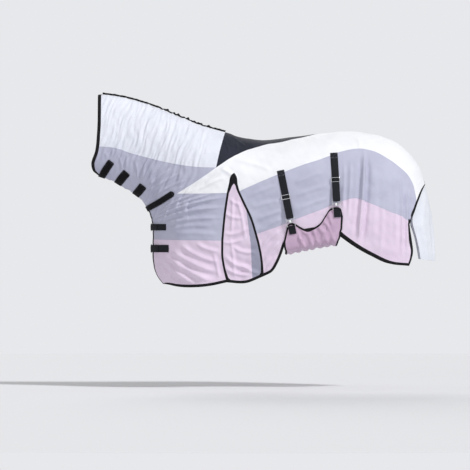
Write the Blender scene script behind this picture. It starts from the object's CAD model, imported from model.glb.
"""Combo fly sheet in its worn shape: mesh cloth, tape, webbing, metal parts and stitching."""

import math

import bmesh
import bpy
import numpy as np
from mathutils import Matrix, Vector


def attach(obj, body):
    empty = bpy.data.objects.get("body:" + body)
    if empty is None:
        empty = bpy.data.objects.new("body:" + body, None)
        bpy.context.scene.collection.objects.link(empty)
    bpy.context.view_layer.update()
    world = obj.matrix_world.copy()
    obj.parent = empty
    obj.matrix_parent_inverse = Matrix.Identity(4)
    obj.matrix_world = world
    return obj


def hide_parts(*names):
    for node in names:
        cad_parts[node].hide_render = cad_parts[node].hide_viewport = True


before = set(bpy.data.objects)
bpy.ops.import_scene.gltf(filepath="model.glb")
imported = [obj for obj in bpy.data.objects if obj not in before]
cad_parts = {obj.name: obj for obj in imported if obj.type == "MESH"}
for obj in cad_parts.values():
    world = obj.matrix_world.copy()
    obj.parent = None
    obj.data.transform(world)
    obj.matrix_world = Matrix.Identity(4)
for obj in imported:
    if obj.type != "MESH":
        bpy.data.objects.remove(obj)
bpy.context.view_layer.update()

# ---- sizes, metres ------------------------------------------------------------------------------
CLOTH = 0.0025          # the cloth's outer face stands this far off the worn surface
YARN = 0.0009           # thickness of the mesh cloth
BINDING = 0.0040        # height of the folded edge tape
BINDING_WIDTH = 0.019   # visible width of the edge tape
POLL_WIDTH = 0.022      # width of the tape round the head end
WEB = 0.0022            # webbing thickness
GAP = 0.0006            # air between webbing and what it lies on
WIRE = 0.0020           # radius of the metal wire
STRAP_WIDTH = 0.048     # belly strap webbing
BACK_ROUND = 0.30       # depth over which the back rounds into the side
FRONT_ROUND = 0.23      # depth over which the chest and throat round into the side
FINE = 6                # fine cloth cells for each drafting cell

# half-widths of the worn sheet along x
STATIONS_X = [-1.15, -1.0, -0.75, -0.585, -0.325, 0.0, 0.325, 0.585, 0.845, 1.04, 1.17, 1.30]
STATIONS_W = [0.095, 0.10, 0.13, 0.18, 0.27, 0.31, 0.35, 0.345, 0.33, 0.30, 0.26, 0.23]

# side outlines, (x, z), head end first
TOP_LINE = [(-1.10, 0.312), (-0.998, 0.312), (-0.845, 0.293), (-0.65, 0.238), (-0.455, 0.160),
            (-0.325, 0.108), (-0.163, 0.062), (-0.022, 0.022), (0.109, 0.011), (0.217, 0.022),
            (0.442, 0.051), (0.65, 0.067), (0.759, 0.057), (0.867, 0.033), (0.975, -0.015),
            (1.062, -0.095), (1.116, -0.175), (1.149, -0.278), (1.181, -0.427), (1.205, -0.579),
            (1.215, -0.698), (1.216, -0.775), (1.216, -0.90)]
THROAT_LINE = [(-1.10, -0.185), (-0.991, -0.221), (-0.898, -0.255), (-0.845, -0.286), (-0.78, -0.325),
               (-0.715, -0.375), (-0.675, -0.430), (-0.645, -0.496), (-0.636, -0.56), (-0.635, -0.64),
               (-0.631, -0.787), (-0.605, -0.871), (-0.562, -0.935), (-0.53, -1.0)]
HEAD_EDGE = [(-0.991, -0.221), (-1.030, -0.190), (-1.040, -0.150), (-1.014, -0.059), (-1.001, 0.072),
             (-0.998, 0.312)]
NECK_SEAM = [(-0.985, -0.030), (-0.878, -0.042), (-0.78, -0.075), (-0.696, -0.098), (-0.52, -0.141),
             (-0.325, -0.169), (-0.221, -0.172)]
NECK_BODY = [(-0.668, -0.446), (-0.60, -0.405), (-0.476, -0.341)]
NECK_BODY_UP = [(-0.476, -0.341), (-0.34, -0.255), (-0.221, -0.172)]
INSERT_FRONT = [(-0.221, -0.172), (-0.196, -0.06), (-0.163, 0.062)]
INSERT_LOWER = [(-0.221, -0.172), (-0.13, -0.112), (-0.022, -0.059), (0.109, -0.022), (0.217, -0.002),
                (0.442, 0.0505)]
WHITE_SEAM_FRONT = [(-0.476, -0.341), (-0.30, -0.341), (-0.151, -0.337)]
WHITE_SEAM_REAR = [(-0.068, -0.325), (0.06, -0.268), (0.174, -0.221), (0.309, -0.169), (0.5, -0.104),
                   (0.592, -0.069), (0.741, -0.052), (0.86, -0.090), (0.951, -0.151), (1.04, -0.235),
                   (1.078, -0.34), (1.089, -0.42)]
PINK_SEAM_FRONT = [(-0.6335, -0.640), (-0.40, -0.645), (-0.187, -0.647)]
PINK_SEAM_REAR = [(0.046, -0.603), (0.22, -0.541), (0.295, -0.509), (0.473, -0.442), (0.593, -0.393),
                  (0.683, -0.371), (0.772, -0.401), (0.90, -0.455), (1.018, -0.512), (1.040, -0.540)]
FRONT_HEM = [(-0.565, -0.931), (-0.50, -0.944), (-0.406, -0.953), (-0.26, -0.943), (-0.152, -0.92)]
GUSSET_HEM = [(-0.152, -0.92), (-0.03, -0.925), (0.091, -0.879)]
REAR_HEM = [(0.091, -0.879), (0.143, -0.851), (0.180, -0.795), (0.208, -0.730), (0.232, -0.665),
            (0.285, -0.612), (0.36, -0.588), (0.47, -0.576), (0.56, -0.588), (0.608, -0.626), (0.689, -0.684),
            (0.801, -0.748), (0.913, -0.798), (1.037, -0.813)]
LEG_FRONT_LOW = [(-0.152, -0.92), (-0.168, -0.858), (-0.186, -0.76), (-0.187, -0.647)]
LEG_FRONT_MID = [(-0.187, -0.647), (-0.178, -0.54), (-0.168, -0.45), (-0.151, -0.337)]
LEG_FRONT_TOP = [(-0.151, -0.337), (-0.138, -0.28), (-0.124, -0.225), (-0.103, -0.205)]
LEG_REAR_TOP = [(-0.103, -0.205), (-0.088, -0.228), (-0.080, -0.28), (-0.068, -0.325)]
LEG_REAR_MID = [(-0.068, -0.325), (-0.026, -0.415), (0.014, -0.50), (0.046, -0.603)]
LEG_REAR_LOW = [(0.046, -0.603), (0.066, -0.68), (0.082, -0.766), (0.091, -0.879)]
REAR_FREE = [(1.037, -0.813), (1.055, -0.77), (1.062, -0.722), (1.052, -0.62), (1.040, -0.540)]
V_SEAM_GREY = [(1.040, -0.540), (1.063, -0.488), (1.089, -0.42)]
V_SEAM_WHITE = [(1.089, -0.42), (1.118, -0.345), (1.149, -0.278)]
TAIL_FRONT = [(1.118, -0.770), (1.098, -0.66), (1.065, -0.545)]
TAIL_BOTTOM = [(1.118, -0.770), (1.165, -0.775), (1.216, -0.775)]


# ---- curves and the worn surface ----------------------------------------------------------------
def cubic(t, h, values, slope, i):
    """Hermite curve between values i and i + 1, a distance h apart."""
    return ((2 * t**3 - 3 * t**2 + 1) * values[i] + (t**3 - 2 * t**2 + t) * h * slope[i]
            + (3 * t**2 - 2 * t**3) * values[i + 1] + (t**3 - t**2) * h * slope[i + 1])


def slopes(points, step):
    """Slope at each point of a line, also where it has only two."""
    if len(points) > 2:
        return np.gradient(points, step, axis=0)
    return np.tile((points[1] - points[0]) / step[1], (2, 1))


def unit(vectors):
    return vectors / np.linalg.norm(vectors, axis=-1)[..., None]


def along(points):
    """Distance of each point from the first, along the line."""
    return np.r_[0, np.cumsum(np.linalg.norm(np.diff(points, axis=0), axis=1))]


def spline(points, count=160):
    """Smooth line through a few points."""
    pts = np.array(points, float)
    step = np.r_[0, np.cumsum(np.hypot(*np.diff(pts, axis=0).T))]
    slope = slopes(pts, step)
    out = []
    for s in np.linspace(0, step[-1], count):
        i = min(max(np.searchsorted(step, s) - 1, 0), len(pts) - 2)
        h = step[i + 1] - step[i]
        t = (s - step[i]) / h
        out.append(cubic(t, h, pts, slope, i))
    return np.array(out)


def table(x, xs, ys):
    """Smooth value from a table of stations."""
    slope = np.gradient(ys, xs)
    i = np.clip(np.searchsorted(xs, x) - 1, 0, len(xs) - 2)
    h = xs[i + 1] - xs[i]
    t = np.clip((x - xs[i]) / h, 0, 1)
    return cubic(t, h, ys, slope, i)


TOP = spline(TOP_LINE, 260)
THROAT = spline(THROAT_LINE, 200)
XS = np.array(STATIONS_X)
WS = np.array(STATIONS_W)


def signed_distance(points, line, side):
    """Distance to a line, positive on the cloth's side of it."""
    a, b = line[:-1], line[1:]
    d = b - a
    rel = points[:, None, :] - a[None]
    t = np.clip((rel * d).sum(-1) / (d * d).sum(-1), 0, 1)
    off = rel - t[..., None] * d
    dist = np.hypot(off[..., 0], off[..., 1])
    k = dist.argmin(1)
    rows = np.arange(len(points))
    cross = d[k, 0] * rel[rows, k, 1] - d[k, 1] * rel[rows, k, 0]
    return dist[rows, k] * np.sign(cross) * side


def depth_squared(points):
    """Square of the half-width at side-view points."""
    pts = np.asarray(points, float).reshape(-1, 2)
    top = np.minimum(signed_distance(pts, TOP, -1) / BACK_ROUND, 1)
    front = np.minimum(signed_distance(pts, THROAT, 1) / FRONT_ROUND, 1)
    wide = table(pts[:, 0], XS, WS)
    low = np.clip((-0.42 - pts[:, 1]) / 0.55, 0, 1)
    lean = 1 - 0.13 * low * low * (3 - 2 * low)
    return (wide * lean) ** 2 * top * (2 - top) * front * (2 - front)


def surface(points):
    """Left-hand surface points for side-view points, and their outward directions."""
    pts = np.asarray(points, float).reshape(-1, 2)
    e = 1e-5
    g = depth_squared(pts)
    gx = (depth_squared(pts + [e, 0]) - depth_squared(pts - [e, 0])) / (2 * e)
    gz = (depth_squared(pts + [0, e]) - depth_squared(pts - [0, e])) / (2 * e)
    y = -np.sqrt(np.maximum(g, 0))
    n = np.c_[-gx, 2 * y, -gz]
    n = unit(n)
    return np.c_[pts[:, 0], y, pts[:, 1]], n


def even(points, n):
    """Split a side-view line into n parts of equal length on the worn surface."""
    p3 = surface(points)[0]
    s = along(p3)
    at = np.linspace(0, s[-1], n + 1)
    out = np.c_[np.interp(at, s, points[:, 0]), np.interp(at, s, points[:, 1])]
    out[0], out[-1] = points[0], points[-1]
    return out


def line(points, n):
    return even(spline(points), n)


def chain(*parts):
    return np.vstack([parts[0]] + [p[1:] for p in parts[1:]])


def inset(points, amount, side):
    """Side-view line moved sideways by a width measured on the worn surface."""
    tangent = np.gradient(points, axis=0)
    tangent = unit(tangent)
    across = np.c_[-tangent[:, 1], tangent[:, 0]] * side
    out = []
    for p, a in zip(points, across):
        lane = p + np.linspace(0, 1.2 * amount, 60)[:, None] * a
        p3 = surface(lane)[0]
        s = along(p3)
        out.append((np.interp(amount, s, lane[:, 0]), np.interp(amount, s, lane[:, 1])))
    return np.array(out)


def on_line(full, start, stop, n):
    """Part of a long outline between two landmarks, split evenly."""
    i = np.argmin(np.hypot(*(full - start).T))
    j = np.argmin(np.hypot(*(full - stop).T))
    piece = full[i:j + 1].copy() if j >= i else full[j:i + 1][::-1].copy()
    return even(piece, n)


def point(x, z):
    return np.array([x, z])


def build_lines():
    """Every seam and edge as a split line, so that neighbours share their points."""
    n, K = {}, FINE
    hem = spline(REAR_HEM)
    rear_hem = chain(on_line(hem, hem[0], point(0.30, -0.605), 8 * K),
                     on_line(hem, point(0.30, -0.605), hem[-1], 14 * K))
    hem_out = chain(line(FRONT_HEM, 11 * K), even(spline(GUSSET_HEM)[:16], K),
                    even(spline(GUSSET_HEM)[15:145], 4 * K),
                    even(spline(GUSSET_HEM)[144:], K), rear_hem)
    rear_out = chain(line(REAR_FREE, 6 * K), line(V_SEAM_GREY, 4 * K), line(V_SEAM_WHITE, 6 * K))
    chest_low = on_line(THROAT, point(*FRONT_HEM[0]), point(*PINK_SEAM_FRONT[0]), 6 * K)
    chest_out = chain(chest_low, on_line(THROAT, chest_low[-1], point(*NECK_BODY[0]), 4 * K))
    hem_out[0] = chest_out[0]
    hem_in = inset(hem_out, BINDING_WIDTH, 1)
    rear_in = inset(rear_out, 0.8 * BINDING_WIDTH, 1)
    chest_in = inset(chest_out, BINDING_WIDTH, -1)
    # the corners are mitred
    hem_in[-1] = rear_in[0] = hem_out[-1] + [-0.8 * BINDING_WIDTH, 0.9 * BINDING_WIDTH]
    hem_in[0] = chest_in[0] = [chest_in[1][0] + 0.010, hem_in[1][1] - 0.002]
    rear_in[-1] = TOP[np.argmin(np.hypot(*(TOP - (rear_out[-1] + [-0.003, 0.016])).T))]
    n["hem_out"], n["hem_in"] = hem_out, hem_in
    n["rear_out"], n["rear_in"] = rear_out, rear_in
    n["chest_out"], n["chest_in"] = chest_out, chest_in
    # gusset legs, outer side, from the hem up to the apex
    for key, low, mid, high, foot in (("f", LEG_FRONT_LOW, LEG_FRONT_MID, LEG_FRONT_TOP, 11 * K),
                                      ("r", LEG_REAR_LOW, LEG_REAR_MID, LEG_REAR_TOP, 17 * K)):
        a = spline(low if key == "f" else low[::-1])
        a = a[np.hypot(*(a - hem_in[foot]).T).argmin() + 1:]
        a = even(np.vstack([hem_in[foot], a]), 6 * K)
        m = line(mid if key == "f" else mid[::-1], 4 * K)
        t = line(high if key == "f" else high[::-1], 4 * K)
        n["leg_" + key] = chain(a, m, t)
        inner = inset(n["leg_" + key], BINDING_WIDTH, -1 if key == "f" else 1)
        inner[0] = hem_in[foot + (K if key == "f" else -K)]
        tip = point(-0.1058 if key == "f" else -0.1022, -0.300)
        inner[10 * K:] = even(np.array([inner[10 * K], (inner[10 * K] + tip) / 2, tip]), 4 * K)
        n["in_" + key] = inner
    # seams
    n["seam_f"] = line(WHITE_SEAM_FRONT, 7 * K)
    n["seam_r"] = line(WHITE_SEAM_REAR, 22 * K)
    n["seam_r"][-1] = rear_in[10 * K]
    n["pink_f"] = line(PINK_SEAM_FRONT, 11 * K)
    n["pink_f"][0] = chest_in[6 * K]
    seam = spline(PINK_SEAM_REAR)
    n["pink_r"] = chain(on_line(seam, seam[0], point(0.215, -0.543), 8 * K),
                        on_line(seam, point(0.215, -0.543), seam[-1], 14 * K))
    n["pink_r"][-1] = rear_in[6 * K]
    up = line(NECK_BODY_UP, 4 * K)
    rest = spline(NECK_BODY)
    rest = rest[rest[:, 0] > chest_in[-1][0] + 0.004]
    n["neck_body"] = chain(even(np.array([chest_out[-1], chest_in[-1]]), K),
                           even(np.vstack([chest_in[-1], rest]), 4 * K))
    n["neck_up"] = up
    low = spline(INSERT_LOWER, 300)
    n["insert_low"] = chain(on_line(low, low[0], point(-0.15, -0.125), 3 * K),
                            on_line(low, point(-0.15, -0.125), point(-0.05, -0.07), 8 * K),
                            on_line(low, point(-0.05, -0.07), low[-1], 10 * K))
    n["tip"] = TOP[np.argmin(np.hypot(*(TOP - low[-1]).T))]
    n["insert_low"][-1] = n["tip"] + [0, -0.0006]
    front = TOP[np.argmin(np.hypot(*(TOP - point(*INSERT_FRONT[-1])).T))]
    n["insert_top"] = chain(on_line(TOP, front, point(-0.10, 0.045), 3 * K), on_line(TOP, point(-0.10, 0.045),
                            point(0.0, 0.02), 8 * K), on_line(TOP, point(0.0, 0.02), n["tip"], 10 * K))
    n["insert_front"] = line(INSERT_FRONT, 6 * K)
    n["insert_front"][-1] = front
    n["spine"] = on_line(TOP, n["tip"], rear_in[-1], 11 * K)
    n["spine"][-1] = rear_in[-1]
    # head end
    edge = spline(HEAD_EDGE, 301)
    split = int(np.argmin(np.abs(edge[:, 1] - NECK_SEAM[0][1]) + (edge[:, 1] < -0.1)))
    out = chain(even(edge[:split + 1], 9 * K), even(edge[split:], 6 * K))
    out[0] = THROAT[np.argmin(np.hypot(*(THROAT - out[0]).T))]
    out[-1] = TOP[np.argmin(np.hypot(*(TOP - out[-1]).T))]
    poll_in = inset(out, POLL_WIDTH, -1)
    poll_in[0] = THROAT[np.argmin(np.hypot(*(THROAT - (out[0] + [0.022, -0.008])).T))]
    poll_in[-1] = TOP[np.argmin(np.hypot(*(TOP - (out[-1] + [0.022, -0.002])).T))]
    n["poll_out"], n["poll_in"] = out, poll_in
    n["neck_seam"] = line(NECK_SEAM, 14 * K)
    n["neck_seam"][0] = poll_in[9 * K]
    n["crest"] = on_line(TOP, poll_in[-1], front, 14 * K)
    n["throat"] = on_line(THROAT, poll_in[0], chest_out[-1], 14 * K)
    n["crest"][0], n["throat"][0] = poll_in[-1], poll_in[0]
    n["crest"][-1], n["throat"][-1] = front, chest_out[-1]
    return n


def refine(points, k=FINE):
    """Smooth line with k steps between each pair of drafting points."""
    step = np.r_[0, np.cumsum(np.hypot(*np.diff(points, axis=0).T))]
    slope = slopes(points, step)
    out = []
    for i in range(len(points) - 1):
        h = step[i + 1] - step[i]
        for t in np.arange(k) / k:
            out.append(cubic(t, h, points, slope, i))
    return np.vstack(out + [points[-1]])


# ---- folds of the worn cloth --------------------------------------------------------------------
def soft(t):
    t = np.clip(t, 0, 1)
    return t * t * (3 - 2 * t)


def wander(x, z, scale, seed):
    """Slow uneven variation between -1 and 1."""
    total = 0
    for i in range(4):
        a = seed * 1.7 + i * 2.399
        total = total + np.sin((x * math.cos(a) + z * math.sin(a)) * (6.283 / scale) * (1 + 0.37 * i)
                               + seed * 3.1 + i * 1.3)
    return total / 3.0


def crease(x, z, a, b, width, height, bow=0.0, sharp=1.0):
    """One fold running from a to b; it fades at both ends."""
    a, b = np.array(a), np.array(b)
    d = b - a
    length = np.hypot(*d)
    u = ((x - a[0]) * d[0] + (z - a[1]) * d[1]) / length**2
    off = ((x - a[0]) * -d[1] + (z - a[1]) * d[0]) / length - bow * (1 - (2 * u - 1) ** 2)
    ends = soft(u / 0.25) * soft((1 - u) / 0.25)
    ridge = np.exp(-np.abs(off / width) ** (2 * sharp)) - 0.45 * np.exp(-((off
                                                                           - 1.9 * width) / (1.5 * width)) ** 2)
    return height * ends * ridge


NECK_DIR = (0.955, -0.297)      # run of the crest
CREASES = [
    # (from, to, half-width, height, bow)
    # grey neck cloth pulled towards the throat tabs
    ((-0.91, -0.13), (-0.89, -0.04), 0.008, 0.0045, 0.004),
           ((-0.90, -0.13), (-0.85, -0.04), 0.008, 0.0040, 0.005),
    ((-0.93, -0.16), (-0.95, -0.06), 0.008, 0.0035, -0.004),
           ((-0.81, -0.20), (-0.80, -0.08), 0.008, 0.0050, 0.004),
    ((-0.80, -0.20), (-0.75, -0.08), 0.008, 0.0045, 0.005),
           ((-0.83, -0.21), (-0.86, -0.09), 0.008, 0.0040, -0.004),
    ((-0.70, -0.29), (-0.68, -0.12), 0.008, 0.0055, 0.006),
           ((-0.70, -0.28), (-0.63, -0.12), 0.008, 0.0055, 0.007),
    ((-0.69, -0.29), (-0.57, -0.14), 0.008, 0.0050, 0.007),
           ((-0.68, -0.31), (-0.50, -0.17), 0.008, 0.0050, 0.007),
    ((-0.68, -0.34), (-0.44, -0.20), 0.009, 0.0050, 0.007),
           ((-0.66, -0.37), (-0.41, -0.25), 0.009, 0.0045, 0.006),
    ((-0.73, -0.30), (-0.75, -0.12), 0.008, 0.0040, -0.004),
           ((-0.62, -0.38), (-0.40, -0.285), 0.007, 0.0035, 0.004),
    # fan from the chest and neck corner up over the shoulder
    ((-0.66, -0.51), (-0.14, -0.360), 0.0095, 0.0095, 0.020),
           ((-0.66, -0.53), (-0.15, -0.43), 0.0105, 0.0085, 0.024),
    ((-0.65, -0.56), (-0.16, -0.50), 0.012, 0.0070, 0.020),
           ((-0.66, -0.49), (-0.24, -0.345), 0.008, 0.0080, 0.012),
    ((-0.64, -0.47), (-0.34, -0.340), 0.007, 0.0060, 0.008),
           ((-0.60, -0.46), (-0.42, -0.36), 0.006, 0.0045, 0.004),
           ((-0.58, -0.58), (-0.22, -0.55), 0.014, 0.0045, 0.012),
    ((-0.50, -0.60), (-0.20, -0.61), 0.015, 0.0040, 0.008),
           ((-0.36, -0.33), (-0.15, -0.23), 0.011, 0.0045, 0.006),
    ((-0.30, -0.29), (-0.12, -0.14), 0.012, 0.0045, 0.006),
    # lower front cloth hanging from the chest closure
    ((-0.58, -0.72), (-0.22, -0.92), 0.016, 0.0085, -0.022),
           ((-0.57, -0.76), (-0.34, -0.94), 0.014, 0.0080, -0.016),
    ((-0.54, -0.69), (-0.19, -0.86), 0.017, 0.0075, -0.022),
           ((-0.60, -0.78), (-0.46, -0.94), 0.012, 0.0065, -0.010),
    ((-0.46, -0.67), (-0.19, -0.79), 0.014, 0.0060, -0.020),
           ((-0.36, -0.66), (-0.19, -0.72), 0.012, 0.0045, -0.012),
    ((-0.24, -0.72), (-0.20, -0.90), 0.011, 0.0050, 0.004),
    # bowed ripples across the gusset
    ((-0.14, -0.37), (-0.05, -0.42), 0.010, 0.0040, -0.008),
           ((-0.17, -0.46), (-0.04, -0.50), 0.012, 0.0055, -0.016),
    ((-0.18, -0.60), (0.00, -0.55), 0.013, 0.0060, -0.026),
           ((-0.18, -0.66), (-0.03, -0.63), 0.010, 0.0045, -0.014),
    ((-0.12, -0.68), (0.05, -0.72), 0.013, 0.0065, -0.022),
           ((-0.17, -0.74), (0.03, -0.82), 0.014, 0.0070, -0.030),
    ((-0.17, -0.82), (0.02, -0.87), 0.012, 0.0060, -0.020),
           ((-0.06, -0.80), (0.07, -0.86), 0.012, 0.0055, -0.014),
    ((-0.115, -0.34), (-0.125, -0.62), 0.009, 0.0045, 0.006),
           ((-0.09, -0.36), (-0.03, -0.66), 0.010, 0.0045, 0.010),
    ((-0.13, -0.62), (-0.10, -0.90), 0.010, 0.0040, 0.006),
    # flank, from the gusset towards the belly straps
    ((-0.03, -0.37), (0.20, -0.28), 0.012, 0.0050, 0.006),
           ((0.00, -0.44), (0.24, -0.38), 0.013, 0.0055, 0.008),
    ((0.03, -0.52), (0.23, -0.45), 0.013, 0.0055, 0.008),
           ((0.05, -0.60), (0.22, -0.50), 0.014, 0.0060, 0.010),
    ((0.07, -0.70), (0.21, -0.57), 0.014, 0.0065, 0.010),
           ((0.09, -0.79), (0.20, -0.64), 0.013, 0.0065, 0.008),
    ((0.10, -0.86), (0.18, -0.74), 0.011, 0.0050, 0.006),
           ((0.28, -0.28), (0.49, -0.20), 0.013, 0.0045, 0.006),
    ((0.29, -0.36), (0.51, -0.29), 0.013, 0.0050, 0.006),
           ((0.30, -0.45), (0.52, -0.37), 0.013, 0.0045, 0.006),
    ((0.61, -0.10), (0.60, -0.50), 0.009, 0.0055, 0.004),
    ((0.655, -0.10), (0.635, -0.52), 0.009, 0.0050, 0.004),
    # standing pleat down the stifle and the folds behind it
    ((0.742, -0.03), (0.700, -0.68), 0.0095, 0.0150, 0.012),
           ((0.717, -0.06), (0.672, -0.66), 0.012, -0.0080, 0.012),
    ((0.768, -0.08), (0.730, -0.70), 0.014, -0.0070, 0.012),
           ((0.81, -0.14), (0.795, -0.70), 0.018, 0.0040, 0.010),
    ((0.86, -0.36), (0.845, -0.76), 0.014, 0.0030, 0.006),
           ((0.93, -0.16), (0.945, -0.70), 0.013, 0.0045, 0.012),
    ((0.975, -0.20), (0.985, -0.78), 0.010, 0.0085, 0.008),
           ((1.01, -0.26), (1.02, -0.78), 0.009, 0.0090, 0.006),
    ((1.035, -0.30), (1.045, -0.60), 0.007, 0.0050, 0.004),
    # back, behind the stretch insert and over the croup
    ((-0.12, -0.12), (0.16, -0.20), 0.014, 0.0045, 0.012),
           ((-0.05, -0.07), (0.22, -0.10), 0.014, 0.0040, 0.010),
    ((0.38, 0.02), (0.60, -0.04), 0.016, 0.0035, 0.006), ((0.70, 0.03), (0.72, -0.06), 0.012, 0.0040, 0.003),
    ((-0.20, -0.17), (-0.07, -0.26), 0.012, 0.0045, 0.006),
    # stretch insert
    ((-0.20, -0.03), (-0.06, -0.075), 0.008, 0.0045, 0.004),
           ((-0.18, 0.03), (-0.13, -0.09), 0.008, 0.0045, 0.004),
    ((-0.14, 0.05), (-0.02, -0.05), 0.008, 0.0045, 0.004),
           ((-0.10, 0.04), (-0.08, -0.08), 0.007, 0.0040, 0.004),
]


def folds(points, side):
    """How far the worn cloth stands off its smooth shape."""
    x, z = points[..., 0], points[..., 1]
    s = NECK_DIR[0] * x + NECK_DIR[1] * z
    v = -NECK_DIR[1] * x + NECK_DIR[0] * z
    neck = soft((-0.24 - x + 0.25 * (z + 0.05)) / 0.10) * soft((x + 1.02) / 0.05) * soft((z + 0.62) / 0.12)
    # ruching round the neck: uneven folds that lean, split and fade
    s2 = s + 0.012 * wander(x, z, 0.30, 1 + side) + 0.10 * (v + 0.1) * wander(x, z, 0.9, 2 + side)
    ruche = 0.0
    for pitch, amp, seed in ((0.023, 0.0013, 2), (0.036, 0.0024, 5), (0.058, 0.0030, 9), (0.094, 0.0026, 12)):
        wave = np.sin(6.283 * s2 / pitch + seed + 0.9 * wander(x, z, 0.35, seed + side))
        wave = np.sign(wave) * np.abs(wave) ** 0.8
        ruche = ruche + amp * wave * np.clip(0.5 + 0.7 * wander(x, z, 0.16, seed + 3 + side), 0, 1.2)
    band = 1.30 - 0.35 * soft((v + 0.30) / 0.10)
    total = neck * ruche * band
    share = 1.0 if side < 1 else 0.85
    for a, b, width, height, bow in CREASES:
        total = total + crease(x, z, a, b, width, height * 1.3 * share, bow)
    body = 1 - neck
    total = total + body * (0.0022 * wander(x, z, 0.19, 4 + side)
                            + 0.0007 * wander(x + 0.3 * z, z, 0.11, 7 + side))
    hem = soft((-0.55 - z) / 0.35) * body
    return total + hem * 0.0038 * np.sin(6.283 * x / 0.17 + 2.0 * wander(x, z, 0.5, 3 + side))


HELD = []       # (x, z, radius): where webbing or a tab lies on the cloth and holds it flat
HOLD_FADE = 0.045       # width over which the folds come back
HELD_SHARE = 0.10       # what is left of a fold where the cloth is held
DEEPEST, HIGHEST = 0.009, 0.014     # limits of the folds, in and out


def held_flat(points):
    x, z = points[..., 0], points[..., 1]
    keep = np.ones(x.shape)
    for hx, hz, r in HELD:
        keep = np.minimum(keep, soft((np.hypot(x - hx, z - hz) - r) / HOLD_FADE))
    return keep


def finer(a, k, axis):
    """Smooth line through rows of points, with k steps between each pair."""
    a = np.moveaxis(a, axis, 0)
    if k > 1:
        a = np.concatenate([[2 * a[0] - a[1]], a, [2 * a[-1] - a[-2]]])
        p0, p1, p2, p3 = a[:-3], a[1:-2], a[2:-1], a[3:]
        parts = [0.5 * (2 * p1 + (p2 - p0) * t + (2 * p0 - 5 * p1 + 4 * p2 - p3) * t**2
                        + (3 * p1 - p0 - 3 * p2 + p3) * t**3)
                 for t in np.arange(k) / k]
        a = np.concatenate([np.stack(parts, 1).reshape(-1, *a.shape[1:]), a[-2:-1]])
    return np.moveaxis(a, 0, axis)


def worn(grid2, mirror=False, offset=0.0, loose=1.0, split=(1, 1)):
    """Grid of worn cloth points on one side, and their outward directions."""
    shape = grid2.shape[:2]
    p, n = surface(grid2.reshape(-1, 2))
    p, n, flat = p.reshape(*shape, 3), n.reshape(*shape, 3), grid2
    for axis, k in enumerate(split):
        p, n, flat = finer(p, k, axis), finer(n, k, axis), finer(flat, k, axis)
    n = unit(n)
    near = soft(np.abs(p[..., 1]) / 0.09)
    move = folds(flat, 0)
    if mirror:
        move = move + (folds(flat, 1) - move) * near
    move = np.clip(move * loose, -DEEPEST, HIGHEST)
    move = move * (HELD_SHARE + (1 - HELD_SHARE) * held_flat(flat))
    p = p + n * (offset + move)[..., None]
    if mirror:
        p, n = p * [1, -1, 1], n * [1, -1, 1]
    return p, n


def worn_across(grid2, loose=1.0, split=(1, 1)):
    """The same for a piece that runs over the top to the other side."""
    p, n = worn(grid2, False, 0.0, loose, split)
    q, m = worn(grid2, True, 0.0, loose, split)
    return np.concatenate([p, q[-2::-1]]), np.concatenate([n, m[-2::-1]])


# ---- small node builder and colours -------------------------------------------------------------
def linear(code):
    """sRGB hex to linear RGBA."""
    out = []
    for i in (0, 2, 4):
        c = int(code[i:i + 2], 16) / 255
        out.append(c / 12.92 if c <= 0.04045 else ((c + 0.055) / 1.055) ** 2.4)
    return (*out, 1.0)


def add_node(tree, kind, settings=None, inputs=None):
    """New node; inputs are values, or (node, output) pairs to link."""
    node = tree.nodes.new(kind)
    for key, value in (settings or {}).items():
        setattr(node, key, value)
    for key, value in (inputs or {}).items():
        if isinstance(value, tuple) and len(value) == 2 and hasattr(value[0], "outputs"):
            tree.links.new(value[0].outputs[value[1]], node.inputs[key])
        else:
            node.inputs[key].default_value = value
    return node


def start_material(name):
    mat = bpy.data.materials.new(name)
    mat.use_nodes = True
    return mat, mat.node_tree, mat.node_tree.nodes["Principled BSDF"]


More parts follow.
